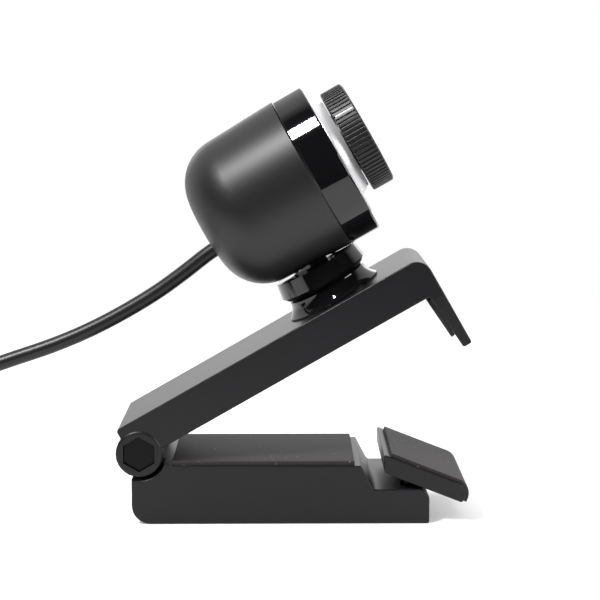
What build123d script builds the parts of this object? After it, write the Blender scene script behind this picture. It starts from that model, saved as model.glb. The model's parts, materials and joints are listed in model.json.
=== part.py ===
"""Webcam on a folding clip stand: a barrel camera head on a swivel, carried by a hinged arm and leg.

Row frame, in millimetres: +X the way the camera looks, +Y across the clip, +Z up.
The origin is the mouth of the tripod thread, in the middle of the leg's underside.
The arm is measured along u and up v from the hinge axis, the head along w from the swivel axis,
and the foot along p and up q from its own pin.
"""

from build123d import *
import os
from math import asin, cos, degrees, pi, radians, sin, tan

os.makedirs("parts", exist_ok=True)

# Whole clip
WIDTH = 32.0  # across the leg, the arm and the foot
HALF = WIDTH / 2
WALL = 1.8  # moulded walls
INNER_HALF = HALF - WALL  # half the width inside the side walls
GAP = 0.1  # between pieces that are fitted together
SIDE_ROUND = 0.35  # the softened edge of the moulded side faces

# Leg, which lies on the table
LEG_HALF = 38.3
RIM_Z = 15.2
STEP_Z = 9.0  # floor of the step that the foot folds down into
RAMP_TOP_X = 20.6
RAMP_FOOT_X = 23.8
HEEL_ROUND = 4.9
TOE_ROUND = 2.8
RAMP_ROUND = 1.2
LEG_TOP_WALL = 1.7
LEG_PAD = (-27.9, 19.0)  # along X
LEG_PAD_TOP = 16.3
PAD_SEAT = 0.9  # how deep a rubber pad sits in its recess
PAD_INSET = 0.8  # plastic rim beside a pad
COVER = 1.5  # thickness of the covers that close the leg and the arm

# Hinge between the leg and the arm
HINGE = Vector(-36.3, 0, 18.4)
ARM_REST = 29.8  # how far the arm stands open, in degrees
KNUCKLE_R = 6.0
KNUCKLE_PROUD = 0.4
SEAT_R = 7.0
CENTRE_KNUCKLE = 7.0  # half the width of the leg's knuckle
ARM_KNUCKLE = 7.7  # where the arm's two knuckles start
HINGE_BORE_R = 2.05
HINGE_PIN_R = 2.0
HEX_RECESS = 8.0  # across flats
HEX_HEAD = 7.6
HEX_DEEP = 3.0
HEX_SUNK = 0.9  # the head's face below the knuckle's face

# Arm
ARM_TOP = 8.3
ARM_UNDER = -1.65
ARM_TAIL = -2.05
LIP_OUTER = 88.2
LIP_TIP = -17.4
LIP_ROOT_U = 84.45
LIP_TIP_U = 85.7
LIP_ROUND = 4.2
LIP_DRAFT = 0.7  # how far each side of the lip leans in at its tip
LIP_DRAFT_TOP = -3.0
LIP_PAD = (-13.7, -2.6)  # along v
LIP_PAD_THICK = 1.1
ARM_CAVITY = (9.5, 80.0)  # along u
ARM_SCREWS = (16.0, 46.0, 76.0)

# Swivel
SWIVEL_U = 62.9
BASE_H = 4.7
BASE_FOOT_R = 13.0
BASE_TOP_R = 10.9
STEM_R = 3.5
STEM_BORE_R = 3.55
COLLAR_GAP = 0.3
COLLAR_R = 12.3
COLLAR_CHAMFER = 1.1
COLLAR_TOP_R = 11.6
COLLAR_TOP = 10.3  # its flat top above the deck, just under the barrel
NECK_R = 8.0  # narrower part of the collar that carries the barrel
COLLAR_SCREWS = 5.5  # either side of the stem

# Camera head
BARREL_RISE = 31.3  # barrel axis above the arm's top
BARREL_R = 21.2
RING_BACK = 11.0
RING_FRONT = 19.45
REAR = -20.6
TAPER = 2.0  # of the rear housing, in degrees a side
REAR_ROUND = 12.3
SHELL = 2.0
BOARD_BACK = 2.0
BOARD_FRONT = 3.6
BOARD_R = 17.6
BOSS_RING_R = 15.7
BOSS_R = 2.3
BOSS_ANGLE = 50.0

# Lens and focus ring, whose axis is above the barrel's
FOCUS_RISE = 2.3
FOCUS_R = 14.3
FOCUS_BACK = 22.9
FOCUS_FRONT = 29.0
RIBS = 76
RIB_CUT_R = 0.34
MARK_ANGLE = 57.0  # index mark, from the top of the ring towards -Y
MARK_WIDE = 0.5
MARK_DEEP = 0.7
LENS_R = 8.1

# Foot
FOOT_PIN = Vector(33.8, 0, 10.4)
FOOT_TILT = 21.5
FOOT_UNDER = 0.1
FOOT_TOP = 4.55
FOOT_LEFT = -7.8
FOOT_LEFT_TOP = -9.6
FOOT_RIGHT = 14.0
FOOT_PAD_THICK = 0.9
FOOT_PAD_LEFT = -7.7
FOOT_PIN_R = 0.75
EAR = (5.0, 8.0)  # leg's ears, across the clip from the middle
EAR_R = 2.1
LUG = (8.4, 11.4)  # foot's lugs
LUG_R = 1.9

# Cable
CABLE_D = 4.0
CABLE_R = CABLE_D / 2
EXIT_DROP = 4.6  # cable exit below the barrel axis
COIL_X = -158.0
COIL_PITCH = 4.2
COIL_BOTTOM = 0.9
COIL_LAYERS = 4
COIL_IN_R = 15.4
COIL_OUT_R = 25.8
TIE_ANGLE = -35.0
TIE_WIDE = 5.0
TIE_THICK = 0.8

ALONG = Vector(cos(radians(ARM_REST)), 0, sin(radians(ARM_REST)))
UP = Vector(-sin(radians(ARM_REST)), 0, cos(radians(ARM_REST)))
ACROSS = Vector(0, 1, 0)
FOOT_ALONG = Vector(cos(radians(FOOT_TILT)), 0, -sin(radians(FOOT_TILT)))
FOOT_UP = Vector(sin(radians(FOOT_TILT)), 0, cos(radians(FOOT_TILT)))

DECK = HINGE + ALONG * SWIVEL_U + UP * ARM_TOP
BARREL = DECK + UP * BARREL_RISE
LENS = BARREL + UP * FOCUS_RISE

LEG_SIDE = Plane.XZ
ARM_SIDE = Plane(origin=HINGE, x_dir=ALONG, z_dir=-ACROSS)
DECK_SIDE = Plane(origin=DECK, x_dir=ALONG, z_dir=-ACROSS)
BARREL_SIDE = Plane(origin=BARREL, x_dir=ALONG, z_dir=-ACROSS)
LENS_SIDE = Plane(origin=LENS, x_dir=ALONG, z_dir=-ACROSS)
FOOT_SIDE = Plane(origin=FOOT_PIN, x_dir=FOOT_ALONG, z_dir=-ACROSS)

SWIVEL_AXIS = Axis(DECK, UP)
BARREL_AXIS = Axis(BARREL, ALONG)
LENS_AXIS = Axis(LENS, ALONG)


def at_y(side, y):
    """The side plane moved across the clip to y."""
    return side.offset(-y)


def head_face(centre, w):
    """A plane across the head at w, with its x across the clip and its y up the head."""
    return Plane(origin=centre + ALONG * w, x_dir=ACROSS, z_dir=ALONG)


def near(x, y):
    """The vertex of the current sketch that lies nearest to x, y."""
    return vertices().sort_by_distance((x, y, 0))[0]


def corner_radii(points):
    """For each inner corner of a route, the largest arc that 0.45 of its shorter run allows."""
    radii = []
    for a, b, c in zip(points, points[1:], points[2:]):
        before = Vector(*b) - Vector(*a)
        after = Vector(*c) - Vector(*b)
        half_turn = radians(before.get_angle(after)) / 2
        radii.append(0.45 * min(before.length, after.length) / tan(half_turn))
    return radii


# ---------------------------------------------------------------- leg

cavity_top = RIM_Z - PAD_SEAT - LEG_TOP_WALL
step_cavity_top = STEP_Z - 2.4
cavity_x = (LEG_PAD[0] - 1.1, RAMP_TOP_X - 1.6)
step_cavity_right = LEG_HALF - 3.6
leg_screw_x = (-21.0, 25.0)
insert_r = 5.0
insert_bore_r = 2.55
insert_top = 9.0
pocket_half = 2.7
pocket_floor = FOOT_PIN.Z - LUG_R - 0.5

with BuildPart() as leg_shell:
    with BuildSketch(LEG_SIDE):
        with BuildLine():
            Polyline(
                (-LEG_HALF, 0),
                (LEG_HALF, 0),
                (LEG_HALF, STEP_Z),
                (RAMP_FOOT_X, STEP_Z),
                (RAMP_TOP_X, RIM_Z),
                (-LEG_HALF, RIM_Z),
                close=True,
            )
        make_face()
        fillet(near(-LEG_HALF, 0), HEEL_ROUND)
        fillet(near(LEG_HALF, STEP_Z), TOE_ROUND)
        fillet(near(LEG_HALF, 0), 0.6)
        fillet(near(RAMP_FOOT_X, STEP_Z), RAMP_ROUND)
        fillet(near(RAMP_TOP_X, RIM_Z), 0.5)
        with Locations((HINGE.X, HINGE.Z)):
            Circle(SEAT_R, mode=Mode.SUBTRACT)
    extrude(amount=HALF, both=True)
    outer_sides = leg_shell.faces().filter_by(Axis.Y)
    fillet(outer_sides.edges(), SIDE_ROUND)
    # The middle knuckle stands on the heel between the arm's two knuckles.
    with BuildSketch(LEG_SIDE):
        with Locations((HINGE.X, HINGE.Z)):
            Circle(KNUCKLE_R)
        with BuildLine():
            Polyline(
                (-LEG_HALF, HEEL_ROUND + 2),
                (-LEG_HALF, RIM_Z),
                (LEG_PAD[0], RIM_Z),
                (LEG_PAD[0], HEEL_ROUND + 2),
                close=True,
            )
        make_face()
    extrude(amount=CENTRE_KNUCKLE, both=True)
    with BuildSketch(LEG_SIDE):
        with Locations((HINGE.X, HINGE.Z)):
            Circle(HINGE_BORE_R)
    extrude(amount=HALF, both=True, mode=Mode.SUBTRACT)
    # The recess that holds the rubber pad.
    with BuildSketch(Plane.XY.offset(RIM_Z - PAD_SEAT)):
        with Locations((sum(LEG_PAD) / 2, 0)):
            Rectangle(LEG_PAD[1] - LEG_PAD[0] + 2 * GAP, WIDTH - 2 * PAD_INSET + 2 * GAP)
    extrude(amount=2 * PAD_SEAT, mode=Mode.SUBTRACT)
    # The hollow under the deck, open below.
    with BuildSketch(LEG_SIDE):
        with BuildLine():
            Polyline(
                (cavity_x[0], 0),
                (cavity_x[0], cavity_top),
                (cavity_x[1], cavity_top),
                (cavity_x[1], step_cavity_top),
                (step_cavity_right, step_cavity_top),
                (step_cavity_right, 0),
                close=True,
            )
        make_face()
    extrude(amount=INNER_HALF, both=True, mode=Mode.SUBTRACT)
    # Boss for the tripod insert, and screw bosses for the base cover.
    with BuildSketch(Plane.XY.offset(COVER + GAP)):
        Circle(insert_r + 2)
    extrude(until=Until.NEXT)
    with BuildSketch(Plane.XY.offset(COVER + GAP)):
        with Locations(*[(x, 0) for x in leg_screw_x]):
            Circle(2.4)
    extrude(until=Until.NEXT)
    with BuildSketch(Plane.XY.offset(COVER)):
        Circle(insert_r + GAP / 2)
    extrude(amount=insert_top + GAP - COVER, mode=Mode.SUBTRACT)
    with BuildSketch(Plane.XY.offset(COVER)):
        with Locations(*[(x, 0) for x in leg_screw_x]):
            Circle(0.8)
    extrude(amount=step_cavity_top - COVER - 0.6, mode=Mode.SUBTRACT)
    # Two ears hold the foot's pin above the step.
    for sign in (-1, 1):
        with BuildSketch(at_y(LEG_SIDE, sign * sum(EAR) / 2)):
            with Locations((FOOT_PIN.X, FOOT_PIN.Z)):
                Circle(EAR_R)
            with Locations((FOOT_PIN.X, (FOOT_PIN.Z + STEP_Z - 1) / 2)):
                Rectangle(2 * EAR_R, FOOT_PIN.Z - STEP_Z + 1)
        extrude(amount=(EAR[1] - EAR[0]) / 2, both=True)
    with BuildSketch(LEG_SIDE):
        with Locations((FOOT_PIN.X, FOOT_PIN.Z)):
            Circle(FOOT_PIN_R + 0.03)
    extrude(amount=EAR[1] + 1, both=True, mode=Mode.SUBTRACT)
    # Pockets in the step that the foot's lugs turn in.
    with BuildSketch(Plane.XY.offset(pocket_floor)):
        with Locations(*[(FOOT_PIN.X, sign * sum(LUG) / 2) for sign in (-1, 1)]):
            Rectangle(2 * pocket_half, LUG[1] - LUG[0] + 0.8)
    extrude(amount=STEP_Z, mode=Mode.SUBTRACT)
leg_shell.part.label = "leg_shell"
export_step(leg_shell.part, "parts/leg_shell.step")

cover_mid_x = (cavity_x[0] + step_cavity_right) / 2
with BuildPart() as leg_base_cover:
    with BuildSketch(Plane.XY):
        with Locations((cover_mid_x, 0)):
            RectangleRounded(
                step_cavity_right - cavity_x[0] - 2 * GAP, 2 * (INNER_HALF - GAP), 0.5
            )
        Circle(insert_r + GAP / 2, mode=Mode.SUBTRACT)
    extrude(amount=COVER)
    with Locations(*[Plane(origin=(x, 0, 0), z_dir=(0, 0, -1)) for x in leg_screw_x]):
        CounterSinkHole(radius=0.95, counter_sink_radius=1.95, depth=COVER)
leg_base_cover.part.label = "leg_base_cover"
export_step(leg_base_cover.part, "parts/leg_base_cover.step")

with BuildPart() as leg_screws:
    for x in leg_screw_x:
        with BuildSketch(Plane(origin=(x, 0, 0), x_dir=(1, 0, 0), z_dir=(0, -1, 0))):
            with BuildLine():
                Polyline(
                    (0, 0.1), (1.7, 0.1), (0.75, 1.05), (0.75, 4.8), (0, 5.2), close=True
                )
            make_face()
        revolve(axis=Axis((x, 0, 0), (0, 0, 1)))
leg_screws.part.label = "leg_screws"
export_step(leg_screws.part, "parts/leg_screws.step")

with BuildPart() as tripod_insert:
    with BuildSketch(Plane.XY):
        Circle(insert_r)
        Circle(insert_bore_r, mode=Mode.SUBTRACT)
    extrude(amount=insert_top)
tripod_insert.part.label = "tripod_insert"
export_step(tripod_insert.part, "parts/tripod_insert.step")

with BuildPart() as leg_pad:
    with BuildSketch(Plane.XY.offset(RIM_Z - PAD_SEAT + 0.02)):
        with Locations((sum(LEG_PAD) / 2, 0)):
            RectangleRounded(LEG_PAD[1] - LEG_PAD[0], WIDTH - 2 * PAD_INSET, 0.4)
    extrude(amount=LEG_PAD_TOP - RIM_Z + PAD_SEAT - 0.02)
    fillet(leg_pad.edges().group_by(Axis.Z)[-1], 0.3)
leg_pad.part.label = "leg_pad"
export_step(leg_pad.part, "parts/leg_pad.step")

# ---------------------------------------------------------------- arm

with BuildPart() as arm_shell:
    with BuildSketch(ARM_SIDE):
        with BuildLine():
            Polyline(
                (ARM_TAIL, ARM_UNDER),
                (ARM_TAIL, ARM_TOP),
                (LIP_OUTER, ARM_TOP),
                (LIP_OUTER, LIP_TIP),
                (LIP_TIP_U, LIP_TIP),
                (LIP_ROOT_U, ARM_UNDER),
                close=True,
            )
        make_face()
        fillet(near(ARM_TAIL, ARM_TOP), 1.0)
        fillet(near(LIP_OUTER, ARM_TOP), LIP_ROUND)
        fillet(near(LIP_ROOT_U, ARM_UNDER), 0.8)
        fillet(near(LIP_OUTER, LIP_TIP), 0.6)
        fillet(near(LIP_TIP_U, LIP_TIP), 0.6)
        Circle(KNUCKLE_R)
    extrude(amount=HALF, both=True)
    # The lip leans in a little on both sides towards its tip.
    for sign in (-1, 1):
        with BuildSketch(Plane(origin=HINGE + ALONG * (LIP_ROOT_U - 4), x_dir=ACROSS, z_dir=ALONG)):
            with BuildLine():
                Polyline(
                    (sign * HALF, LIP_DRAFT_TOP),
                    (sign * (HALF + 1), LIP_DRAFT_TOP),
                    (sign * (HALF + 1), LIP_TIP - 1),
                    (sign * (HALF - LIP_DRAFT), LIP_TIP - 1),
                    close=True,
                )
            make_face()
        extrude(amount=10, mode=Mode.SUBTRACT)
    long_edges = arm_shell.edges().filter_by(GeomType.LINE).filter_by(Axis(HINGE, ALONG))
    fillet(long_edges.group_by(Axis.Y)[0] + long_edges.group_by(Axis.Y)[-1], SIDE_ROUND)
    # Round knuckles stand a little proud of both sides.
    with BuildSketch(ARM_SIDE):
        Circle(KNUCKLE_R)
    extrude(amount=HALF + KNUCKLE_PROUD, both=True)
    rims = arm_shell.edges().filter_by(GeomType.CIRCLE)
    fillet(rims.group_by(Axis.Y)[0] + rims.group_by(Axis.Y)[-1], 0.7)
    # Room for the leg's knuckle, the pin's bore and the hexagonal recesses.
    with BuildSketch(ARM_SIDE):
        Circle(KNUCKLE_R + 0.6)
    extrude(amount=ARM_KNUCKLE, both=True, mode=Mode.SUBTRACT)
    with BuildSketch(ARM_SIDE):
        Circle(HINGE_BORE_R)
    extrude(amount=HALF + 1, both=True, mode=Mode.SUBTRACT)
    for sign in (-1, 1):
        face_y = sign * (HALF + KNUCKLE_PROUD)
        with BuildSketch(at_y(ARM_SIDE, face_y)):
            RegularPolygon(HEX_RECESS / 2, 6, major_radius=False, rotation=30 - ARM_REST)
        extrude(amount=sign * HEX_DEEP, mode=Mode.SUBTRACT)
    # The hollow between the side walls, open below.
    with BuildSketch(ARM_SIDE):
        with Locations((sum(ARM_CAVITY) / 2, (ARM_UNDER + ARM_TOP - WALL) / 2)):
            Rectangle(ARM_CAVITY[1] - ARM_CAVITY[0], ARM_TOP - WALL - ARM_UNDER)
    extrude(amount=INNER_HALF, both=True, mode=Mode.SUBTRACT)
    with BuildSketch(Plane(origin=HINGE + UP * (ARM_UNDER + COVER + GAP), x_dir=ALONG, z_dir=UP)):
        with Locations(*[(u, 0) for u in ARM_SCREWS]):
            Circle(2.3)
    extrude(until=Until.NEXT)
    with BuildSketch(Plane(origin=HINGE + UP * ARM_UNDER, x_dir=ALONG, z_dir=UP)):
        with Locations(*[(u, 0) for u in ARM_SCREWS]):
            Circle(0.8)
    extrude(amount=7.0, mode=Mode.SUBTRACT)
    with BuildSketch(Plane(origin=DECK, x_dir=ALONG, z_dir=UP)):
        Circle(STEM_BORE_R + 1.75)
    extrude(amount=-2 * WALL, mode=Mode.SUBTRACT)
arm_shell.part.label = "arm_shell"
export_step(arm_shell.part, "parts/arm_shell.step")

with BuildPart() as arm_cover:
    with BuildSketch(Plane(origin=HINGE + UP * ARM_UNDER, x_dir=ALONG, z_dir=UP)):
        with Locations((sum(ARM_CAVITY) / 2, 0)):
            RectangleRounded(
                ARM_CAVITY[1] - ARM_CAVITY[0] - 2 * GAP, 2 * (INNER_HALF - GAP), 0.5
            )
    extrude(amount=COVER)
    with Locations(
        *[
            Plane(origin=HINGE + UP * ARM_UNDER + ALONG * u, x_dir=ALONG, z_dir=-UP)
            for u in ARM_SCREWS
        ]
    ):
        CounterSinkHole(radius=0.95, counter_sink_radius=1.95, depth=COVER)
arm_cover.part.label = "arm_cover"
export_step(arm_cover.part, "parts/arm_cover.step")

with BuildPart() as arm_screws:
    for u in ARM_SCREWS:
        with BuildSketch(
            Plane(origin=HINGE + UP * ARM_UNDER + ALONG * u, x_dir=ALONG, z_dir=-ACROSS)
        ):
            with BuildLine():
                Polyline(
                    (0, 0.1), (1.7, 0.1), (0.75, 1.05), (0.75, 5.6), (0, 6.0), close=True
                )
            make_face()
        revolve(axis=Axis(HINGE + UP * ARM_UNDER + ALONG * u, UP))
arm_screws.part.label = "arm_screws"
export_step(arm_screws.part, "parts/arm_screws.step")

lip_lean = degrees(asin((LIP_TIP_U - LIP_ROOT_U) / (ARM_UNDER - LIP_TIP)))
with BuildPart() as lip_pad:
    with BuildSketch(
        Plane(origin=HINGE + ALONG * LIP_ROOT_U + UP * ARM_UNDER, x_dir=ALONG, z_dir=-ACROSS)
    ):
        with Locations(Location((0, 0, 0), (0, 0, 1), lip_lean)):
            with Locations(
                (-LIP_PAD_THICK / 2 - 0.02, (LIP_PAD[0] + LIP_PAD[1]) / 2 - ARM_UNDER)
            ):
                RectangleRounded(LIP_PAD_THICK, LIP_PAD[1] - LIP_PAD[0], 0.35)
    extrude(amount=HALF - 1.6, both=True)
lip_pad.part.label = "lip_pad"
export_step(lip_pad.part, "parts/lip_pad.step")

# ---------------------------------------------------------------- hinge pin, nut and washers

head_out = HALF + KNUCKLE_PROUD - HEX_SUNK
head_in = HALF + KNUCKLE_PROUD - HEX_DEEP + GAP / 2
with BuildPart() as hinge_pin:
    with BuildSketch(at_y(ARM_SIDE, -head_in)):
        RegularPolygon(HEX_HEAD / 2, 6, major_radius=False, rotation=30 - ARM_REST)
    extrude(amount=head_out - head_in)
    with BuildSketch(at_y(ARM_SIDE, -head_in)):
        Circle(HINGE_PIN_R)
    extrude(amount=-(2 * head_in))
hinge_pin.part.label = "hinge_pin"
export_step(hinge_pin.part, "parts/hinge_pin.step")

with BuildPart() as hinge_nut:
    with BuildSketch(at_y(ARM_SIDE, head_in)):
        RegularPolygon(HEX_HEAD / 2, 6, major_radius=False, rotation=30 - ARM_REST)
    extrude(amount=-(head_out - head_in))
    with BuildSketch(at_y(ARM_SIDE, head_in)):
        Circle(HINGE_PIN_R + 0.02)
    extrude(amount=-1.2, mode=Mode.SUBTRACT)
hinge_nut.part.label = "hinge_nut"
export_step(hinge_nut.part, "parts/hinge_nut.step")

with BuildPart() as hinge_washers:
    for sign in (-1, 1):
        with BuildSketch(at_y(ARM_SIDE, sign * (CENTRE_KNUCKLE + ARM_KNUCKLE) / 2)):
            Circle(KNUCKLE_R - 0.5)
            Circle(HINGE_BORE_R + 0.05, mode=Mode.SUBTRACT)
        extrude(amount=(ARM_KNUCKLE - CENTRE_KNUCKLE) / 2 - 0.05, both=True)
hinge_washers.part.label = "hinge_washers"
export_step(hinge_washers.part, "parts/hinge_washers.step")

# ---------------------------------------------------------------- foot

with BuildPart() as foot_plate:
    with BuildSketch(FOOT_SIDE):
        with BuildLine():
            Polyline(
                (FOOT_LEFT, FOOT_UNDER),
                (FOOT_RIGHT, FOOT_UNDER),
                (FOOT_RIGHT, FOOT_TOP),
                (FOOT_LEFT_TOP, FOOT_TOP),
                close=True,
            )
        make_face()
        fillet(near(FOOT_RIGHT, FOOT_TOP), 3.0)
        fillet(near(FOOT_RIGHT, FOOT_UNDER), 0.8)
        fillet(near(FOOT_LEFT, FOOT_UNDER), 1.3)
        fillet(near(FOOT_LEFT_TOP, FOOT_TOP), 0.4)
    extrude(amount=HALF, both=True)
    fillet(foot_plate.faces().filter_by(Axis.Y).edges(), SIDE_ROUND)
    for sign in (-1, 1):
        with BuildSketch(at_y(FOOT_SIDE, sign * sum(LUG) / 2)):
            Circle(LUG_R)
            with Locations((0, LUG_R / 2)):
                Rectangle(2 * LUG_R, LUG_R)
        extrude(amount=(LUG[1] - LUG[0]) / 2, both=True)
    # Pockets in the underside, where the leg's ears stand.
    for sign in (-1, 1):
        with BuildSketch(at_y(FOOT_SIDE, sign * sum(EAR) / 2)):
            Rectangle(2 * (EAR_R + 1.0), 2 * (EAR_R + 0.35))
        extrude(amount=(EAR[1] - EAR[0]) / 2 + 0.25, both=True, mode=Mode.SUBTRACT)
    with BuildSketch(FOOT_SIDE):
        Circle(FOOT_PIN_R + 0.06)
    extrude(amount=LUG[1] + 0.6, both=True, mode=Mode.SUBTRACT)
foot_plate.part.label = "foot_plate"
export_step(foot_plate.part, "parts/foot_plate.step")

with BuildPart() as foot_pad:
    with BuildSketch(FOOT_SIDE):
        inner = (FOOT_RIGHT + 0.05, FOOT_TOP + 0.05)
        outer = (FOOT_RIGHT + FOOT_PAD_THICK, FOOT_TOP + FOOT_PAD_THICK)
        with BuildLine():
            Polyline(
                (FOOT_PAD_LEFT, inner[1]),
                inner,
                (inner[0], 0.6),
                (outer[0], 0.6),
                outer,
                (FOOT_PAD_LEFT, outer[1]),
                close=True,
            )
        make_face()
        fillet(near(*inner), 3.05)
        fillet(near(*outer), 3.9)
    extrude(amount=HALF - PAD_INSET, both=True)
foot_pad.part.label = "foot_pad"
export_step(foot_pad.part, "parts/foot_pad.step")

with BuildPart() as foot_pin:
    with BuildSketch(FOOT_SIDE):
        Circle(FOOT_PIN_R)
    extrude(amount=LUG[1] + 0.4, both=True)
foot_pin.part.label = "foot_pin"
export_step(foot_pin.part, "parts/foot_pin.step")

# ---------------------------------------------------------------- swivel

collar_bottom = BASE_H + COLLAR_GAP
stem_end = -2.5
with BuildPart() as swivel_base:
    with BuildSketch(DECK_SIDE):
        with BuildLine():
            Polyline(
                (BASE_TOP_R - 0.5, BASE_H),
                (STEM_BORE_R, BASE_H),
                (STEM_BORE_R, -WALL),
                (STEM_BORE_R + 1.65, -WALL),
                (STEM_BORE_R + 1.65, 0.02),
                (BASE_FOOT_R, 0.02),
                (BASE_FOOT_R, 0.5),
            )
            ThreePointArc(
                (BASE_FOOT_R, 0.5), (BASE_TOP_R + 0.6, 2.2), (BASE_TOP_R, BASE_H - 0.5)
            )
            Line((BASE_TOP_R, BASE_H - 0.5), (BASE_TOP_R - 0.5, BASE_H))
        make_face()
    revolve(axis=SWIVEL_AXIS)
swivel_base.part.label = "swivel_base"
export_step(swivel_base.part, "parts/swivel_base.step")

with BuildPart() as swivel_collar:
    with BuildSketch(DECK_SIDE):
        with BuildLine():
            Polyline(
                (0, stem_end),
                (STEM_R, stem_end),
                (STEM_R, collar_bottom),
                (COLLAR_R - COLLAR_CHAMFER, collar_bottom),
                (COLLAR_R, collar_bottom + COLLAR_CHAMFER),
                (COLLAR_TOP_R, COLLAR_TOP),
                (NECK_R, COLLAR_TOP),
                (NECK_R, BARREL_RISE / 2),
                (0, BARREL_RISE / 2),
                close=True,
            )
        make_face()
    revolve(axis=SWIVEL_AXIS)
    with BuildSketch(head_face(BARREL, -20)):
        Circle(BARREL_R + 0.04)
    extrude(amount=40, mode=Mode.SUBTRACT)
    with BuildSketch(Plane(origin=DECK + UP * stem_end, x_dir=ALONG, z_dir=UP)):
        Circle(1.0)
    extrude(amount=7.0, mode=Mode.SUBTRACT)
    with BuildSketch(Plane(origin=DECK + UP * (collar_bottom + 0.9), x_dir=ALONG, z_dir=UP)):
        with Locations((-COLLAR_SCREWS, 0), (COLLAR_SCREWS, 0)):
            Circle(0.8)
    extrude(amount=6.0, mode=Mode.SUBTRACT)
swivel_collar.part.label = "swivel_collar"
export_step(swivel_collar.part, "parts/swivel_collar.step")

with BuildPart() as swivel_washer:
    with BuildSketch(Plane(origin=DECK + UP * (stem_end + 0.02), x_dir=ALONG, z_dir=UP)):
        Circle(6.8)
        Circle(STEM_R + 0.05, mode=Mode.SUBTRACT)
    extrude(amount=0.6)
swivel_washer.part.label = "swivel_washer"
export_step(swivel_washer.part, "parts/swivel_washer.step")

with BuildPart() as swivel_screw:
    with BuildSketch(Plane(origin=DECK + UP * (stem_end - 0.02), x_dir=ALONG, z_dir=-UP)):
        Circle(4.6)
    extrude(amount=1.1)
    fillet(swivel_screw.edges().sort_by(SWIVEL_AXIS)[0], 0.5)
    with BuildSketch(Plane(origin=DECK + UP * (stem_end - 0.02), x_dir=ALONG, z_dir=UP)):
        Circle(0.95)
    extrude(amount=6.4)
swivel_screw.part.label = "swivel_screw"
export_step(swivel_screw.part, "parts/swivel_screw.step")

# ---------------------------------------------------------------- camera head


def taper_r(w, start_r):
    """The housing's radius at w, for a wall that has start_r at the front ring."""
    return start_r - (RING_BACK - w) * tan(radians(TAPER))


with BuildPart() as rear_housing:
    with BuildSketch(BARREL_SIDE):
        with BuildLine():
            Polyline(
                (RING_BACK - 0.05, 0),
                (RING_BACK - 0.05, BARREL_R),
                (REAR, taper_r(REAR, BARREL_R)),
                (REAR, 0),
                close=True,
            )
        make_face()
        fillet(near(REAR, BARREL_R), REAR_ROUND)
        fillet(near(RING_BACK, BARREL_R), 0.25)
    revolve(axis=BARREL_AXIS)
    with BuildSketch(BARREL_SIDE):
        with BuildLine():
            Polyline(
                (RING_BACK + 1, 0),
                (RING_BACK + 1, taper_r(RING_BACK + 1, BARREL_R - SHELL)),
                (REAR + SHELL, taper_r(REAR + SHELL, BARREL_R - SHELL)),
                (REAR + SHELL, 0),
                close=True,
            )
        make_face()
        fillet(near(REAR + SHELL, BARREL_R - SHELL), REAR_ROUND - SHELL)
    revolve(axis=BARREL_AXIS, mode=Mode.SUBTRACT)
    with BuildSketch(head_face(BARREL - UP * EXIT_DROP, REAR - 1)):
        Circle(3.0)
    extrude(amount=SHELL + 2, mode=Mode.SUBTRACT)
    with BuildSketch(Plane(origin=DECK, x_dir=ALONG, z_dir=UP)):
        with Locations((-COLLAR_SCREWS, 0), (COLLAR_SCREWS, 0)):
            Circle(0.9)
    extrude(amount=BARREL_RISE - BARREL_R / 2, mode=Mode.SUBTRACT)
rear_housing.part.label = "rear_housing"
export_step(rear_housing.part, "parts/rear_housing.step")

spigot_r = BARREL_R - SHELL - 0.25
spigot_in = spigot_r - 1.4
seat_w = 17.2
with BuildPart() as front_ring:
    with BuildSketch(BARREL_SIDE):
        with BuildLine():
            Polyline(
                (7.6, spigot_in),
                (7.6, spigot_r),
                (RING_BACK, spigot_r),
                (RING_BACK, BARREL_R),
                (RING_FRONT, BARREL_R),
                (RING_FRONT, BARREL_R - 2.3),
                (seat_w, BARREL_R - 2.3),
                (seat_w, spigot_in),
                close=True,
            )
        make_face()
        fillet(near(RING_FRONT, BARREL_R), 0.5)
        fillet(near(RING_BACK, BARREL_R), 0.25)
    revolve(axis=BARREL_AXIS)
    # Bosses that carry the circuit board.
    with BuildSketch(head_face(BARREL, BOARD_FRONT + 0.05)):
        with PolarLocations(BOSS_RING_R, 3, start_angle=BOSS_ANGLE):
            Circle(BOSS_R)
    extrude(amount=seat_w - BOARD_FRONT - 0.05)
    with BuildSketch(head_face(BARREL, BOARD_FRONT)):
        with PolarLocations(BOSS_RING_R, 3, start_angle=BOSS_ANGLE):
            Circle(0.8)
    extrude(amount=6.0, mode=Mode.SUBTRACT)
front_ring.part.label = "front_ring"
export_step(front_ring.part, "parts/front_ring.step")

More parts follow.
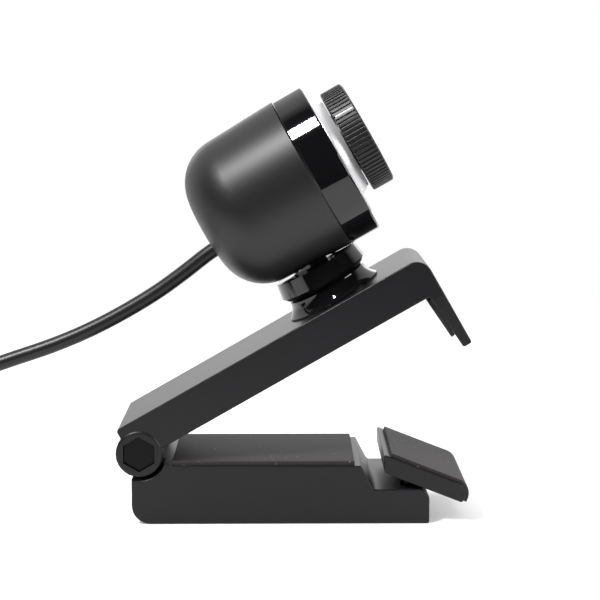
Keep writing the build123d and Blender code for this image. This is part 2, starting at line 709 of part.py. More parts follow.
plate_r = BARREL_R - 2.4
boss_w = FOCUS_BACK - 0.4
mic_place = (-15.2, -2.0)
with BuildPart() as front_plate:
    with BuildSketch(BARREL_SIDE):
        with BuildLine():
            Polyline(
                (seat_w + 0.05, 0),
                (seat_w + 0.05, plate_r),
                (RING_FRONT - 0.2, plate_r),
                (RING_FRONT - 0.2, plate_r - 1.8),
                (RING_FRONT - 0.7, plate_r - 1.8),
                (RING_FRONT - 0.7, plate_r - 2.2),
                (RING_FRONT + 0.2, plate_r - 2.2),
                (RING_FRONT + 0.5, plate_r - 2.6),
                (RING_FRONT + 0.5, 0),
                close=True,
            )
        make_face()
    revolve(axis=BARREL_AXIS)
    with BuildSketch(LENS_SIDE):
        with BuildLine():
            Polyline(
                (RING_FRONT, 0), (RING_FRONT, 13.9), (RING_FRONT + 0.5, 13.9), (boss_w, 12.2),
                (boss_w, 0), close=True,
            )
        make_face()
        fillet(near(RING_FRONT + 0.5, 13.9), 0.4)
    revolve(axis=LENS_AXIS)
    with BuildSketch(head_face(LENS, seat_w - 1)):
        Circle(LENS_R + 0.9)
    extrude(amount=boss_w, mode=Mode.SUBTRACT)
    with BuildSketch(head_face(BARREL, seat_w - 1)):
        with Locations(mic_place):
            Circle(0.5)
    extrude(amount=boss_w, mode=Mode.SUBTRACT)
front_plate.part.label = "front_plate"
export_step(front_plate.part, "parts/front_plate.step")

with BuildPart() as main_board:
    with BuildSketch(head_face(BARREL, BOARD_BACK)):
        Circle(BOARD_R)
        with PolarLocations(BOSS_RING_R, 3, start_angle=BOSS_ANGLE):
            Circle(0.95, mode=Mode.SUBTRACT)
    extrude(amount=BOARD_FRONT - BOARD_BACK)
main_board.part.label = "main_board"
export_step(main_board.part, "parts/main_board.step")

with BuildPart() as board_screws:
    with BuildSketch(head_face(BARREL, BOARD_BACK - 1.2)):
        with PolarLocations(BOSS_RING_R, 3, start_angle=BOSS_ANGLE):
            Circle(1.6)
    extrude(amount=1.2)
    with BuildSketch(head_face(BARREL, BOARD_BACK)):
        with PolarLocations(BOSS_RING_R, 3, start_angle=BOSS_ANGLE):
            Circle(0.75)
    extrude(amount=6.5)
board_screws.part.label = "board_screws"
export_step(board_screws.part, "parts/board_screws.step")

with BuildPart() as image_sensor:
    with BuildSketch(head_face(LENS, BOARD_FRONT)):
        Rectangle(8.0, 7.0)
    extrude(amount=1.0)
image_sensor.part.label = "image_sensor"
export_step(image_sensor.part, "parts/image_sensor.step")

with BuildPart() as microphone:
    with BuildSketch(head_face(BARREL, BOARD_FRONT)):
        with Locations(mic_place):
            Circle(1.8)
    extrude(amount=1.2)
microphone.part.label = "microphone"
export_step(microphone.part, "parts/microphone.step")

with BuildPart() as board_connector:
    with BuildSketch(head_face(BARREL - UP * 9, BOARD_BACK)):
        Rectangle(9.0, 4.5)
    extrude(amount=-3.6)
board_connector.part.label = "board_connector"
export_step(board_connector.part, "parts/board_connector.step")

with BuildPart() as lens_holder:
    with BuildSketch(LENS_SIDE):
        with BuildLine():
            Polyline(
                (BOARD_FRONT, LENS_R + 0.07),
                (BOARD_FRONT, 11.3),
                (BOARD_FRONT + 1.6, 11.3),
                (BOARD_FRONT + 1.6, 9.8),
                (seat_w - 0.6, 9.8),
                (seat_w - 0.6, LENS_R + 0.07),
                close=True,
            )
        make_face()
    revolve(axis=LENS_AXIS)
lens_holder.part.label = "lens_holder"
export_step(lens_holder.part, "parts/lens_holder.step")

with BuildPart() as collar_screws:
    screw_spots = [(-COLLAR_SCREWS, 0), (COLLAR_SCREWS, 0)]
    seat_height = BARREL_RISE - taper_r(-COLLAR_SCREWS, BARREL_R - SHELL) + 0.12
    with BuildSketch(Plane(origin=DECK + UP * seat_height, x_dir=ALONG, z_dir=UP)):
        with Locations(*screw_spots):
            Circle(1.4)
    extrude(amount=1.2)
    with BuildSketch(Plane(origin=DECK + UP * seat_height, x_dir=ALONG, z_dir=UP)):
        with Locations(*screw_spots):
            Circle(0.75)
    extrude(amount=-(seat_height - collar_bottom - 1.1))
collar_screws.part.label = "collar_screws"
export_step(collar_screws.part, "parts/collar_screws.step")

EXIT = BARREL - UP * EXIT_DROP
with BuildPart() as cable_grommet:
    with BuildSketch(Plane(origin=EXIT, x_dir=ALONG, z_dir=-ACROSS)):
        with BuildLine():
            Polyline(
                (REAR + SHELL + 1.0, CABLE_R + 0.1),
                (REAR + SHELL + 1.0, 4.2),
                (REAR + SHELL + 0.02, 4.2),
                (REAR + SHELL + 0.02, 2.95),
                (REAR - 0.02, 2.95),
                (REAR - 0.02, 3.2),
                (REAR - 0.4, 2.9),
                (REAR - 0.4, CABLE_R + 0.1),
                close=True,
            )
        make_face()
    revolve(axis=Axis(EXIT, ALONG))
cable_grommet.part.label = "cable_grommet"
export_step(cable_grommet.part, "parts/cable_grommet.step")

# ---------------------------------------------------------------- focus ring and lens

with BuildPart() as focus_ring:
    with BuildSketch(head_face(LENS, FOCUS_BACK)):
        Circle(FOCUS_R)
        with PolarLocations(FOCUS_R + 0.02, RIBS):
            Circle(RIB_CUT_R, mode=Mode.SUBTRACT)
        Circle(LENS_R + 0.1, mode=Mode.SUBTRACT)
    extrude(amount=FOCUS_FRONT - FOCUS_BACK)
    with BuildSketch(LENS_SIDE):
        with BuildLine():
            Polyline(
                (FOCUS_BACK - 1, LENS_R),
                (FOCUS_BACK - 1, FOCUS_R + 1),
                (FOCUS_BACK, FOCUS_R + 1),
                (FOCUS_BACK, FOCUS_R - 0.3),
                (FOCUS_BACK + 0.3, FOCUS_R + 0.05),
                (FOCUS_FRONT - 0.5, FOCUS_R + 0.05),
                (FOCUS_FRONT, FOCUS_R - 0.6),
                (FOCUS_FRONT, LENS_R),
                close=True,
            )
        make_face()
    revolve(axis=LENS_AXIS, mode=Mode.INTERSECT)
    with BuildSketch(head_face(LENS, FOCUS_BACK)):
        Circle(12.7)
        Circle(LENS_R + 1.6, mode=Mode.SUBTRACT)
    extrude(amount=4.2, mode=Mode.SUBTRACT)
    with BuildSketch(
        Plane(
            origin=LENS + ALONG * FOCUS_BACK,
            x_dir=ALONG,
            z_dir=UP * cos(radians(MARK_ANGLE)) - ACROSS * sin(radians(MARK_ANGLE)),
        ).offset(FOCUS_R - MARK_DEEP)
    ):
        with Locations(((FOCUS_FRONT - FOCUS_BACK) / 2, 0)):
            Rectangle(FOCUS_FRONT - FOCUS_BACK + 1, MARK_WIDE)
    extrude(amount=2, mode=Mode.SUBTRACT)
focus_ring.part.label = "focus_ring"
export_step(focus_ring.part, "parts/focus_ring.step")

with BuildPart() as focus_mark:
    with BuildSketch(
        Plane(
            origin=LENS + ALONG * FOCUS_BACK,
            x_dir=ALONG,
            z_dir=UP * cos(radians(MARK_ANGLE)) - ACROSS * sin(radians(MARK_ANGLE)),
        ).offset(FOCUS_R - MARK_DEEP + 0.02)
    ):
        with Locations(((FOCUS_FRONT - FOCUS_BACK) / 2, 0)):
            Rectangle(FOCUS_FRONT - FOCUS_BACK - 1.0, MARK_WIDE - 0.06)
    extrude(amount=MARK_DEEP - 0.04)
focus_mark.part.label = "focus_mark"
export_step(focus_mark.part, "parts/focus_mark.step")

barrel_back = 6.0
barrel_front = FOCUS_FRONT - 0.8
front_seat = 22.5
dome_rise = 1.7
dome_r = (6.5**2 + dome_rise**2) / (2 * dome_rise)
with BuildPart() as lens_barrel:
    with BuildSketch(LENS_SIDE):
        with BuildLine():
            Polyline(
                (barrel_back, 5.0),
                (barrel_back, LENS_R),
                (barrel_front, LENS_R),
                (barrel_front, 7.4),
                (front_seat + 3.2, 6.6),
                (front_seat, 6.6),
                (front_seat, 5.0),
                close=True,
            )
        make_face()
    revolve(axis=LENS_AXIS)
lens_barrel.part.label = "lens_barrel"
export_step(lens_barrel.part, "parts/lens_barrel.step")

with BuildPart() as front_lens:
    with BuildSketch(LENS_SIDE):
        with BuildLine():
            Polyline(
                (front_seat + 2.9, 0),
                (front_seat + 0.02, 0),
                (front_seat + 0.02, 6.5),
                (front_seat + 1.2, 6.5),
            )
            CenterArc((front_seat + 2.9 - dome_r, 0), dome_r, 0, degrees(asin(6.5 / dome_r)))
        make_face()
    revolve(axis=LENS_AXIS)
front_lens.part.label = "front_lens"
export_step(front_lens.part, "parts/front_lens.step")

with BuildPart() as rear_lens:
    with BuildSketch(LENS_SIDE):
        with BuildLine():
            Polyline((8.4, 4.9), (10.2, 4.9), (10.2, 0), (7.2, 0))
            ThreePointArc((7.2, 0), (7.55, 2.6), (8.4, 4.9))
        make_face()
    revolve(axis=LENS_AXIS)
rear_lens.part.label = "rear_lens"
export_step(rear_lens.part, "parts/rear_lens.step")

# ---------------------------------------------------------------- cable

lead_start = EXIT + ALONG * (REAR + 4.0)
lead_bend = EXIT + ALONG * (REAR - 1.1)
# The lead bends with the head's swivel and the run with the arm; they meet in the middle of a
# straight stretch.
MEET = (-40.8, -0.5, 53.15)
LEAD_ROUTE = [
    (lead_start.X, 0, lead_start.Z),
    (lead_bend.X, 0, lead_bend.Z),
    (-25.2, -0.1, 63.4),
    (-34.0, -0.2, 57.0),
    MEET,
]
RUN_ROUTE = [
    MEET,
    (-47.6, -0.8, 49.3),
    (-60.0, -1.4, 44.0),
    (-73.0, -2.2, 39.9),
    (-86.0, -3.7, 35.1),
    (-98.0, -6.0, 28.0),
    (-109.0, -9.8, 20.3),
    (-120.0, -15.0, 12.8),
    (-132.0, -20.6, 6.8),
    (-144.8, -24.9, 3.6),
    (COIL_X, -COIL_OUT_R, COIL_BOTTOM + COIL_PITCH / 2),
]
coil_top = COIL_BOTTOM + COIL_LAYERS * COIL_PITCH
tail_z = coil_top + COIL_PITCH / 2
plug_z = coil_top + 4.2
PLUG = Vector(COIL_X - 1.5, 21.5, plug_z)  # where the cable goes into the plug
TAIL_ROUTE = [
    (COIL_X - COIL_OUT_R, 0.0, tail_z),
    (COIL_X - 25.2, 7.5, tail_z + 0.1),
    (COIL_X - 21.8, 14.2, tail_z + 0.3),
    (COIL_X - 15.8, 19.0, tail_z + 0.9),
    (COIL_X - 8.6, 21.3, tail_z + 1.7),
    (PLUG.X, PLUG.Y, PLUG.Z),
]

with BuildPart() as cable_lead:
    with BuildLine() as lead_line:
        FilletPolyline(*LEAD_ROUTE, radius=corner_radii(LEAD_ROUTE))
    with BuildSketch(Plane(origin=lead_line.line @ 0, z_dir=lead_line.line % 0)):
        Circle(CABLE_R)
    sweep(path=lead_line.line)
cable_lead.part.label = "cable_lead"
export_step(cable_lead.part, "parts/cable_lead.step")

with BuildPart() as cable_run:
    with BuildLine() as run_line:
        FilletPolyline(*RUN_ROUTE, radius=corner_radii(RUN_ROUTE))
    with BuildSketch(Plane(origin=run_line.line @ 0, z_dir=run_line.line % 0)):
        Circle(CABLE_R)
    sweep(path=run_line.line)
cable_run.part.label = "cable_run"
export_step(cable_run.part, "parts/cable_run.step")

with BuildPart() as cable_tail:
    with BuildLine() as tail_line:
        FilletPolyline(*TAIL_ROUTE, radius=corner_radii(TAIL_ROUTE))
    with BuildSketch(Plane(origin=tail_line.line @ 0, z_dir=tail_line.line % 0)):
        Circle(CABLE_R)
    sweep(path=tail_line.line)
cable_tail.part.label = "cable_tail"
export_step(cable_tail.part, "parts/cable_tail.step")

coil_r = (COIL_IN_R - COIL_PITCH / 2 - 0.1, COIL_OUT_R + COIL_PITCH / 2 + 0.1)
with BuildPart() as cable_coil:
    with BuildSketch(Plane.XY.offset(COIL_BOTTOM)):
        with Locations((COIL_X, 0)):
            Circle(coil_r[1])
            Circle(coil_r[0], mode=Mode.SUBTRACT)
    extrude(amount=COIL_LAYERS * COIL_PITCH)
    fillet(cable_coil.edges().filter_by(GeomType.CIRCLE), 1.8)
cable_coil.part.label = "cable_coil"
export_step(cable_coil.part, "parts/cable_coil.step")

tie_dir = Vector(cos(radians(TIE_ANGLE)), sin(radians(TIE_ANGLE)), 0)
tie_side = Vector(-sin(radians(TIE_ANGLE)), cos(radians(TIE_ANGLE)), 0)
tie_in = (coil_r[0] - 0.45, coil_r[1] + 0.1, COIL_BOTTOM - 0.1, coil_top + 0.1)
with BuildPart() as cable_tie:
    with BuildSketch(Plane(origin=(COIL_X, 0, 0), x_dir=tie_dir, z_dir=-tie_side)):
        with Locations(((tie_in[0] + tie_in[1]) / 2, (tie_in[2] + tie_in[3]) / 2)):
            RectangleRounded(
                tie_in[1] - tie_in[0] + 2 * TIE_THICK, tie_in[3] - tie_in[2] + 2 * TIE_THICK, 1.6
            )
            RectangleRounded(tie_in[1] - tie_in[0], tie_in[3] - tie_in[2], 0.8, mode=Mode.SUBTRACT)
    extrude(amount=TIE_WIDE / 2, both=True)
cable_tie.part.label = "cable_tie"
export_step(cable_tie.part, "parts/cable_tie.step")

NECK = 6.0
OVERMOULD = 19.0
SHELL_LONG = 17.5


def plug_face(x, z=0.0):
    """A plane across the plug at x from the cable's end, with its x across the plug."""
    return Plane(origin=PLUG + Vector(x, 0, z), x_dir=ACROSS, z_dir=(1, 0, 0))


with BuildPart() as usb_overmould:
    with BuildSketch(plug_face(NECK)):
        RectangleRounded(15.6, 8.0, 1.8)
    extrude(amount=OVERMOULD)
    fillet(usb_overmould.faces().filter_by(Axis.X).edges(), 0.8)
    with BuildSketch(plug_face(0)):
        Circle(CABLE_R + 0.5)
    with BuildSketch(plug_face(NECK + 0.5)):
        Circle(CABLE_R + 1.3)
    loft()
usb_overmould.part.label = "usb_overmould"
export_step(usb_overmould.part, "parts/usb_overmould.step")

with BuildPart() as usb_shell:
    with BuildSketch(plug_face(NECK + OVERMOULD)):
        RectangleRounded(12.0, 4.5, 0.5)
        RectangleRounded(11.4, 3.9, 0.3, mode=Mode.SUBTRACT)
    extrude(amount=SHELL_LONG)
    with BuildSketch(Plane(origin=PLUG + Vector(NECK + OVERMOULD + SHELL_LONG - 6, 0, 0))):
        with GridLocations(1, 6, 1, 2):
            Rectangle(2.2, 2.2)
    extrude(amount=3, both=True, mode=Mode.SUBTRACT)
usb_shell.part.label = "usb_shell"
export_step(usb_shell.part, "parts/usb_shell.step")

with BuildPart() as usb_tongue:
    with BuildSketch(plug_face(NECK + OVERMOULD, 0.9)):
        Rectangle(11.2, 1.9)
    extrude(amount=SHELL_LONG - 0.6)
usb_tongue.part.label = "usb_tongue"
export_step(usb_tongue.part, "parts/usb_tongue.step")

# ---------------------------------------------------------------- cable lengths and bends

for title, route, line, tube in (
    ("lead", LEAD_ROUTE, lead_line.line, cable_lead.part),
    ("run", RUN_ROUTE, run_line.line, cable_run.part),
    ("tail", TAIL_ROUTE, tail_line.line, cable_tail.part),
):
    section = pi * CABLE_R**2
    length = sum(edge.length for edge in line.edges())
    print(title, "radii", [round(r, 1) for r in corner_radii(route)])
    print(title, "length", round(length, 1), "volume ratio", round(tube.volume / section / length, 4))
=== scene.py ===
"""Webcam on a folding clip stand: materials, cable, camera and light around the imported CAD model.

The camera's place and the cable are in millimetres, which MM turns into metres; the studio is in
metres. +X is the way the webcam looks, +Y goes across the clip and +Z is up.
"""

import json
import math

import bpy
from mathutils import Matrix, Vector


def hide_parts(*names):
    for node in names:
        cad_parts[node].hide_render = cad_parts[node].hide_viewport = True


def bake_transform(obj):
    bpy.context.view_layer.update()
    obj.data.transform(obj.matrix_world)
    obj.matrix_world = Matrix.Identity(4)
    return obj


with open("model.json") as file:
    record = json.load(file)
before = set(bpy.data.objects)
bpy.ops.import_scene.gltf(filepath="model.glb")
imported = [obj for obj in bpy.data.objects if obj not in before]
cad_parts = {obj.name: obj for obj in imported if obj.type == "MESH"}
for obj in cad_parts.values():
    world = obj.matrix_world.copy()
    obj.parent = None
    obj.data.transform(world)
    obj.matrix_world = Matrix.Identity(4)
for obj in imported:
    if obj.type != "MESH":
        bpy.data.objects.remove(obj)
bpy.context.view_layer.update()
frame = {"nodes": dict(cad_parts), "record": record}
nodes = frame["nodes"]
scene = bpy.context.scene
MM = 0.001

# ---------------------------------------------------------------- camera

EYE = (1.56, -390.5, 113.9)
PITCH = 6.15  # degrees down from level
YAW = 0.52  # degrees to the right of +Y
LENS = 89.6
SENSOR = 36
SHIFT = -0.1
NEAREST = 0.01

camera_data = bpy.data.cameras.new("camera")
camera_data.lens = LENS
camera_data.sensor_width = SENSOR
camera_data.shift_y = SHIFT
camera_data.clip_start = NEAREST
camera = bpy.data.objects.new("camera", camera_data)
camera.location = Vector(EYE) * MM
camera.rotation_euler = (math.radians(90 - PITCH), 0, math.radians(-YAW))
scene.collection.objects.link(camera)
scene.camera = camera

# ---------------------------------------------------------------- cable

CABLE_D = 4.0
COIL_X = -158.0
COIL_PITCH = 4.2
COIL_BOTTOM = 0.9
COIL_LAYERS = 4
COIL_IN_R = 15.4
COIL_OUT_R = 25.8
COIL_START = -90.0
COIL_TURNS = 10.25
TURN_STEPS = 48
CLIMB_TURN = 6  # a layer climbs to the next within one turn over this number
LAST_TURN = 3  # the same for the top layer, which climbs to the tail
TUBE_SIDES = 24
SPLINE_STEPS = 10
MEET = (-40.8, -0.5, 53.15)
LEAD_FREE = 12  # the lead's first point that moves away from the head
LEAD_ROUTE = [
    (-13.52, 0, 71.78),
    (-17.95, 0, 69.24),
    (-25.2, -0.1, 63.4),
    (-34.0, -0.2, 57.0),
    MEET,
]
RUN_ROUTE = [
    MEET,
    (-47.6, -0.8, 49.3),
    (-60.0, -1.4, 44.0),
    (-73.0, -2.2, 39.9),
    (-86.0, -3.7, 35.1),
    (-98.0, -6.0, 28.0),
    (-109.0, -9.8, 20.3),
    (-120.0, -15.0, 12.8),
    (-132.0, -20.6, 6.8),
    (-144.8, -24.9, 3.6),
    (COIL_X, -COIL_OUT_R, COIL_BOTTOM + COIL_PITCH / 2),
]
COIL_TOP = COIL_BOTTOM + COIL_LAYERS * COIL_PITCH
TAIL_Z = COIL_TOP + COIL_PITCH / 2
PLUG_Z = COIL_TOP + COIL_PITCH
TAIL_ROUTE = [
    (COIL_X - COIL_OUT_R, 0.0, TAIL_Z),
    (COIL_X - 25.2, 7.5, TAIL_Z + 0.1),
    (COIL_X - 21.8, 14.2, TAIL_Z + 0.3),
    (COIL_X - 15.8, 19.0, TAIL_Z + 0.9),
    (COIL_X - 8.6, 21.3, TAIL_Z + 1.7),
    (COIL_X - 1.5, 21.5, PLUG_Z),
]


def smooth_line(route):
    """Points, in metres, along the spline that has the route's corners as its control points."""
    curve = bpy.data.curves.new("line", "CURVE")
    curve.dimensions = "3D"
    curve.resolution_u = SPLINE_STEPS
    spline = curve.splines.new("NURBS")
    spline.points.add(len(route) - 1)
    for point, place in zip(spline.points, route):
        point.co = (*(Vector(place) * MM), 1)
    spline.order_u = 3
    spline.use_endpoint_u = True
    carrier = bpy.data.objects.new("line", curve)
    scene.collection.objects.link(carrier)
    bpy.context.view_layer.update()
    graph = bpy.context.evaluated_depsgraph_get()
    mesh = bpy.data.meshes.new_from_object(carrier.evaluated_get(graph))
    line = [v.co.copy() for v in mesh.vertices]
    bpy.data.objects.remove(carrier)
    bpy.data.curves.remove(curve)
    bpy.data.meshes.remove(mesh)
    return line


def coil_line():
    """Points, in metres, round the coil: clockwise from above, in layers that run in and out by turns."""
    steps = round(COIL_TURNS * TURN_STEPS)
    layer_turns = COIL_TURNS / COIL_LAYERS
    top = COIL_LAYERS - 1
    line = []
    for step in range(1, steps):
        turned = step / steps * COIL_TURNS
        layer = min(int(turned / layer_turns), top)
        share = turned / layer_turns - layer
        inward = share if layer % 2 == 0 else 1 - share
        r = COIL_OUT_R - (COIL_OUT_R - COIL_IN_R) * inward
        # A layer stays level until its very end, then climbs smoothly by one pitch.
        climb = max(0.0, 1 - (1 - share) * layer_turns * (CLIMB_TURN if layer < top else LAST_TURN))
        rise = (3 - 2 * climb) * climb**2
        a = math.radians(COIL_START) - turned * 2 * math.pi
        z = COIL_BOTTOM + COIL_PITCH * (layer + 0.5 + rise)
        line.append(Vector((COIL_X + r * math.cos(a), r * math.sin(a), z)) * MM)
    return line


def tube(name, line, radius, sides=TUBE_SIDES):
    """A round mesh tube along the line, closed by flat caps with corners of their own."""
    verts, faces = [], []
    side = Vector((0, 1, 0))
    for i, place in enumerate(line):
        ahead = (line[min(i + 1, len(line) - 1)] - line[max(i - 1, 0)]).normalized()
        side = (side - ahead * side.dot(ahead)).normalized()
        up = ahead.cross(side)
        for k in range(sides):
            a = 2 * math.pi * k / sides
            verts.append(place + (side * math.cos(a) + up * math.sin(a)) * radius)
    for i in range(len(line) - 1):
        for k in range(sides):
            n = (k + 1) % sides
            faces.append((i * sides + k, i * sides + n, (i + 1) * sides + n, (i + 1) * sides + k))
    ring = list(range(sides))
    for first, order in ((0, reversed(ring)), ((len(line) - 1) * sides, ring)):
        faces.append(tuple(len(verts) + k for k in order))
        verts.extend(verts[first : first + sides])
    mesh = bpy.data.meshes.new(name)
    mesh.from_pydata(verts, [], faces)
    mesh.update()
    for face in mesh.polygons:
        face.use_smooth = len(face.vertices) == 4
    piece = bpy.data.objects.new(name, mesh)
    scene.collection.objects.link(piece)
    return piece


def length(line):
    """The line's length in metres."""
    return sum((b - a).length for a, b in zip(line, line[1:]))


lead_line = smooth_line(LEAD_ROUTE)
run_line = smooth_line(RUN_ROUTE) + coil_line() + smooth_line(TAIL_ROUTE)

lead = tube("flex_lead", lead_line, CABLE_D / 2 * MM)
run = tube("flex_run", run_line, CABLE_D / 2 * MM)
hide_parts("cable_lead")
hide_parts("cable_run", "cable_coil", "cable_tail")
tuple(lead_line[LEAD_FREE])
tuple(lead_line[-1])
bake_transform(lead)
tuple(run_line[0])
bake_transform(run)
round(length(lead_line), 4)
round(length(run_line), 3)

# ---------------------------------------------------------------- materials

PLAIN_SPECULAR = 0.5
COAT_ROUGHNESS = 0.05
BUMP_DEPTH = 0.00002
RUBBER = (0.018, 0.015, 0.015)
DUST = (0.20, 0.18, 0.18)
DUST_SCALE = 420
DUST_SIZE = 0.06
DUST_EDGE = 1.6
GLASS_CLEARNESS = 0.6
GLASS_IOR = 1.6

# Each slot's base colour and roughness, and where it differs from plain plastic.
SLOTS = {
    "body_plastic": ((0.0045, 0.0042, 0.0052), 0.40, {"specular": 0.32}),
    "rubber_pad": (RUBBER, 0.66, {"specular": 0.33}),
    "gloss_black": ((0.004, 0.004, 0.0045), 0.05, {}),
    "matte_black": ((0.009, 0.009, 0.0095), 0.43, {"specular": 0.42}),
    "hinge_black": ((0.002, 0.002, 0.0022), 0.25, {"specular": 0.12}),
    "washer_plastic": ((0.55, 0.55, 0.53), 0.5, {}),
    "silver": ((0.68, 0.68, 0.69), 0.38, {"metallic": 0.5}),
    "white_mark": ((0.62, 0.64, 0.66), 0.5, {}),
    "lens_glass": ((0.02, 0.02, 0.03), 0.03, {"coat": 1.0}),
    "sensor_glass": ((0.04, 0.05, 0.08), 0.1, {}),
    "circuit_board": ((0.02, 0.13, 0.05), 0.35, {}),
    "steel": ((0.56, 0.56, 0.57), 0.3, {"metallic": 1.0}),
    "brass": ((0.72, 0.55, 0.27), 0.28, {"metallic": 1.0}),
    "cable_jacket": ((0.007, 0.007, 0.0075), 0.38, {"specular": 0.35}),
    "plug_steel": ((0.72, 0.72, 0.73), 0.22, {"metallic": 1.0}),
    "plug_insulator": ((0.75, 0.75, 0.76), 0.5, {}),
}


def material(name, color, roughness, metallic=0.0, coat=0.0, specular=PLAIN_SPECULAR):
    """A new material and its shader."""
    made = bpy.data.materials.new(name)
    made.use_nodes = True
    shader = made.node_tree.nodes["Principled BSDF"]
    shader.inputs["Base Color"].default_value = (*color, 1)
    shader.inputs["Roughness"].default_value = roughness
    shader.inputs["Metallic"].default_value = metallic
    shader.inputs["Coat Weight"].default_value = coat
    shader.inputs["Coat Roughness"].default_value = COAT_ROUGHNESS
    shader.inputs["Specular IOR Level"].default_value = specular
    return made, shader


def grain(shader, scale, strength, detail=2.0):
    """Fine bumps over the whole surface, in the object's own coordinates, which it returns."""
    tree = shader.id_data
    place = tree.nodes.new("ShaderNodeTexCoord")
    noise = tree.nodes.new("ShaderNodeTexNoise")
    noise.inputs["Scale"].default_value = scale
    noise.inputs["Detail"].default_value = detail
    bump = tree.nodes.new("ShaderNodeBump")
    bump.inputs["Strength"].default_value = strength
    bump.inputs["Distance"].default_value = BUMP_DEPTH
    tree.links.new(place.outputs["Object"], noise.inputs["Vector"])
    tree.links.new(noise.outputs["Fac"], bump.inputs["Height"])
    tree.links.new(bump.outputs["Normal"], shader.inputs["Normal"])
    return place


def dust(shader, place, clean):
    """Small pale specks of dust on the clean base colour."""
    tree = shader.id_data
    cells = tree.nodes.new("ShaderNodeTexVoronoi")
    cells.inputs["Scale"].default_value = DUST_SCALE
    ramp = tree.nodes.new("ShaderNodeValToRGB")
    speck, around = ramp.color_ramp.elements
    speck.position = DUST_SIZE
    speck.color = (*DUST, 1)
    around.position = DUST_SIZE * DUST_EDGE
    around.color = (*clean, 1)
    tree.links.new(place.outputs["Object"], cells.inputs["Vector"])
    tree.links.new(cells.outputs["Distance"], ramp.inputs["Fac"])
    tree.links.new(ramp.outputs["Color"], shader.inputs["Base Color"])


looks = {}
shaders = {}
for slot, (color, roughness, differs) in SLOTS.items():
    looks[slot], shaders[slot] = material(slot, color, roughness, **differs)

grain(shaders["body_plastic"], scale=2600, strength=0.5)
grain(shaders["matte_black"], scale=3000, strength=0.15)
rubber_place = grain(shaders["rubber_pad"], scale=1500, strength=0.5, detail=4)
dust(shaders["rubber_pad"], rubber_place, RUBBER)
shaders["lens_glass"].inputs["Transmission Weight"].default_value = GLASS_CLEARNESS
shaders["lens_glass"].inputs["IOR"].default_value = GLASS_IOR

for part in frame["record"]["subparts"]:
    node = nodes[part["node"]]
    node.data.materials.clear()
    node.data.materials.append(looks[part["material_slot"]])
for piece in (lead, run):
    piece.data.materials.append(looks["cable_jacket"])

# ---------------------------------------------------------------- floor

FLOOR_HALF_WIDTH = 3
FLOOR_FRONT = -0.24
FLOOR_BACK = 4
GLOW_FROM = 0.16
GLOW_FULL = 0.42
GLOW_NEAR = 0.3

scene.view_settings.view_transform = "Standard"


def stage_plane(name, corners, look):
    """A flat piece of the studio, which isn't part of the object."""
    mesh = bpy.data.meshes.new(name)
    mesh.from_pydata(corners, [], [(0, 1, 2, 3)])
    mesh.materials.append(look)
    piece = bpy.data.objects.new(name, mesh)
    scene.collection.objects.link(piece)
    return piece


# The paper glows more and more away from the object, so that it has no horizon.
paper, shader = material("paper", (0.90, 0.893, 0.90), 0.6, specular=0.25)
tree = paper.node_tree
place = tree.nodes.new("ShaderNodeTexCoord")
far = tree.nodes.new("ShaderNodeVectorMath")
far.operation = "LENGTH"
fade = tree.nodes.new("ShaderNodeMapRange")
fade.interpolation_type = "SMOOTHSTEP"
fade.inputs["From Min"].default_value = GLOW_FROM
fade.inputs["From Max"].default_value = GLOW_FULL
fade.inputs["To Min"].default_value = GLOW_NEAR
glow = tree.nodes.new("ShaderNodeEmission")
glow.inputs["Color"].default_value = (1, 1, 1, 1)
mix = tree.nodes.new("ShaderNodeMixShader")
tree.links.new(place.outputs["Object"], far.inputs[0])
tree.links.new(far.outputs["Value"], fade.inputs["Value"])
tree.links.new(fade.outputs["Result"], mix.inputs["Fac"])
tree.links.new(shader.outputs["BSDF"], mix.inputs[1])
tree.links.new(glow.outputs["Emission"], mix.inputs[2])
tree.links.new(mix.outputs["Shader"], tree.nodes["Material Output"].inputs["Surface"])
floor_corners = [
    (-FLOOR_HALF_WIDTH, FLOOR_FRONT, 0),
    (FLOOR_HALF_WIDTH, FLOOR_FRONT, 0),
    (FLOOR_HALF_WIDTH, FLOOR_BACK, 0),
    (-FLOOR_HALF_WIDTH, FLOOR_BACK, 0),
]
stage_plane("floor", floor_corners, paper)

# ---------------------------------------------------------------- room

ROOM_DARK = (0.02, 0.02, 0.021)
ROOM_DARK_TO = 0.50  # 0 looks straight along -Y, 1 straight along +Y
ROOM_WHITE = (0.95, 0.95, 0.96)
ROOM_WHITE_FROM = 0.66

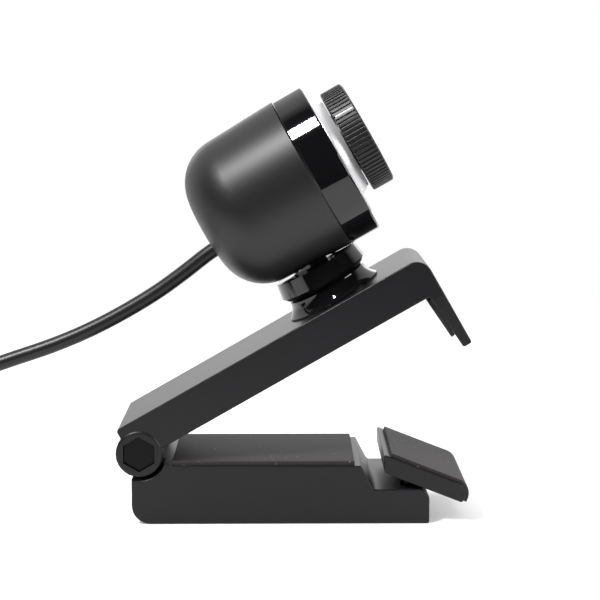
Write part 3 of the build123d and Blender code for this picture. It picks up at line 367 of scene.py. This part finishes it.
# The room is dark in front of the table and white behind it; straight views see white all round.
world = bpy.data.worlds.new("studio")
scene.world = world
world.use_nodes = True
sky = world.node_tree
seen = sky.nodes["Background"]
seen.inputs["Color"].default_value = (1, 1, 1, 1)
seen.inputs["Strength"].default_value = 1.0
room = sky.nodes.new("ShaderNodeBackground")
direction = sky.nodes.new("ShaderNodeTexCoord")
parts = sky.nodes.new("ShaderNodeSeparateXYZ")
shade = sky.nodes.new("ShaderNodeValToRGB")
front, behind = shade.color_ramp.elements
front.position = ROOM_DARK_TO
front.color = (*ROOM_DARK, 1)
behind.position = ROOM_WHITE_FROM
behind.color = (*ROOM_WHITE, 1)
half = sky.nodes.new("ShaderNodeMath")
half.operation = "MULTIPLY_ADD"
half.inputs[1].default_value = 0.5
half.inputs[2].default_value = 0.5
path = sky.nodes.new("ShaderNodeLightPath")
choose = sky.nodes.new("ShaderNodeMixShader")
sky.links.new(direction.outputs["Generated"], parts.inputs["Vector"])
sky.links.new(parts.outputs["Y"], half.inputs[0])
sky.links.new(half.outputs["Value"], shade.inputs["Fac"])
sky.links.new(shade.outputs["Color"], room.inputs["Color"])
sky.links.new(path.outputs["Is Camera Ray"], choose.inputs["Fac"])
sky.links.new(room.outputs["Background"], choose.inputs[1])
sky.links.new(seen.outputs["Background"], choose.inputs[2])
sky.links.new(choose.outputs["Shader"], sky.nodes["World Output"].inputs["Surface"])

# ---------------------------------------------------------------- lamps

ACROSS = (1, 0, 0)
DEEP = (0, 1, 0)
HEAD_TILT = math.radians(29.8)
HEAD_AXIS = (math.cos(HEAD_TILT), 0, math.sin(HEAD_TILT))
OBJECT_MIDDLE = (0, 0, 0.06)
BARREL_SHOULDER = (0.006, -0.018, 0.102)


def softbox(name, place, aim, side, width, height, watts):
    """A rectangular area lamp at place, facing aim, with its width along side."""
    data = bpy.data.lights.new(name, "AREA")
    data.shape = "RECTANGLE"
    data.size = width
    data.size_y = height
    data.energy = watts
    lamp = bpy.data.objects.new(name, data)
    back = (Vector(place) - Vector(aim)).normalized()
    across = (Vector(side) - back * back.dot(Vector(side))).normalized()
    turn = Matrix((across, back.cross(across), back)).transposed()
    lamp.matrix_world = Matrix.Translation(place) @ turn.to_4x4()
    scene.collection.objects.link(lamp)
    return lamp


# The top box lights dull surfaces and isn't mirrored; the strip makes the highlight along the barrel.
top_box = softbox("top_box", (0.0, 0.40, 1.0), (0, 0.1, 0), ACROSS, 1.2, 0.8, 8.5)
top_box.visible_glossy = False
softbox("right_box", (0.67, -0.33, 0.34), OBJECT_MIDDLE, DEEP, 0.36, 0.36, 4.4)
softbox("left_strip", (-0.456, -0.428, 0.890), BARREL_SHOULDER, HEAD_AXIS, 0.026, 0.26, 15.0)
back_box = softbox("back_box", (0.0, 1.4, 0.42), OBJECT_MIDDLE, ACROSS, 1.6, 0.40, 3.5)
back_box.visible_camera = False
